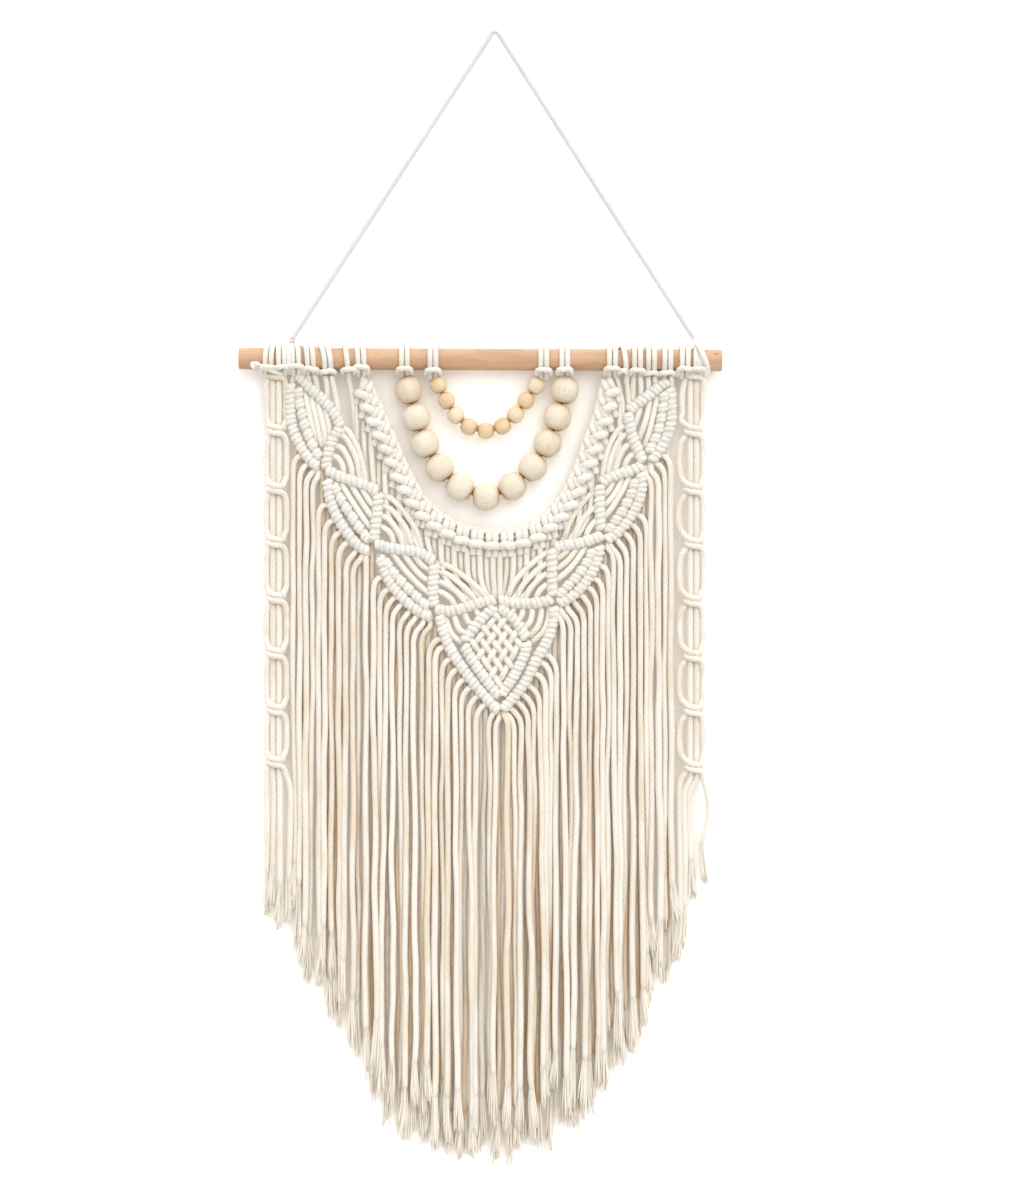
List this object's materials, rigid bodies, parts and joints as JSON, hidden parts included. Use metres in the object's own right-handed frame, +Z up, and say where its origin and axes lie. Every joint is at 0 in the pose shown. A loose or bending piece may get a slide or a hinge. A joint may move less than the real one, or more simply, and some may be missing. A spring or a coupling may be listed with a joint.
{
  "type": "macrame wall hanging on a wooden dowel",
  "caption": "Knotted cotton cord wall hanging with leaf shapes, a diamond and a long fringe, on a wooden dowel with bead strings, hung by a cord.",
  "frame": {"origin": "the point under the hanging cord's bend where it rests on its hook", "axes": "+Z up, +X to the right seen from the front, the front faces -Y and the wall is at +Y"},
  "size_m": [0.4251, 0.0288, 1.0043],
  "materials": {
    "cotton_cord": "matt natural cotton, three-strand twisted",
    "hanging_cord_cotton": "matt bleached cotton, three-strand twisted",
    "dowel_wood": "sanded, unvarnished, grain along the length",
    "pale_bead_wood": "smooth, unvarnished",
    "honey_bead_wood": "smooth, unvarnished"
  },
  "bodies": {
    "root": {"dowel": "dowel_wood", "dowel_loop_01": "cotton_cord", "dowel_loop_02": "cotton_cord", "dowel_loop_03": "cotton_cord", "dowel_loop_04": "cotton_cord", "dowel_loop_05": "cotton_cord", "dowel_loop_06": "cotton_cord", "dowel_loop_07": "cotton_cord", "dowel_loop_08": "cotton_cord", "dowel_loop_09": "cotton_cord", "dowel_loop_10": "cotton_cord", "dowel_loop_11": "cotton_cord", "dowel_loop_12": "cotton_cord", "dowel_loop_13": "cotton_cord", "dowel_loop_14": "cotton_cord", "dowel_loop_15": "cotton_cord", "dowel_loop_16": "cotton_cord", "dowel_loop_17": "cotton_cord", "dowel_loop_18": "cotton_cord", "hanger_cord": "hanging_cord_cotton", "bead_string_large": "cotton_cord", "bead_string_small": "cotton_cord", "bead_large_01": "pale_bead_wood", "bead_large_02": "pale_bead_wood", "bead_large_03": "pale_bead_wood", "bead_large_04": "pale_bead_wood", "bead_large_05": "pale_bead_wood", "bead_large_06": "pale_bead_wood", "bead_large_07": "pale_bead_wood", "bead_large_08": "pale_bead_wood", "bead_large_09": "pale_bead_wood", "bead_large_10": "pale_bead_wood", "bead_large_11": "pale_bead_wood", "bead_small_01": "honey_bead_wood", "bead_small_02": "honey_bead_wood", "bead_small_03": "honey_bead_wood", "bead_small_04": "honey_bead_wood", "bead_small_05": "honey_bead_wood", "bead_small_06": "honey_bead_wood", "bead_small_07": "honey_bead_wood", "bead_small_08": "honey_bead_wood", "bead_small_09": "honey_bead_wood", "neckline_band": "cotton_cord", "net_left": "cotton_cord", "net_middle": "cotton_cord", "net_right": "cotton_cord", "side_chain_left": "cotton_cord", "side_chain_right": "cotton_cord", "fringe": "cotton_cord"}
  },
  "joints": []
}
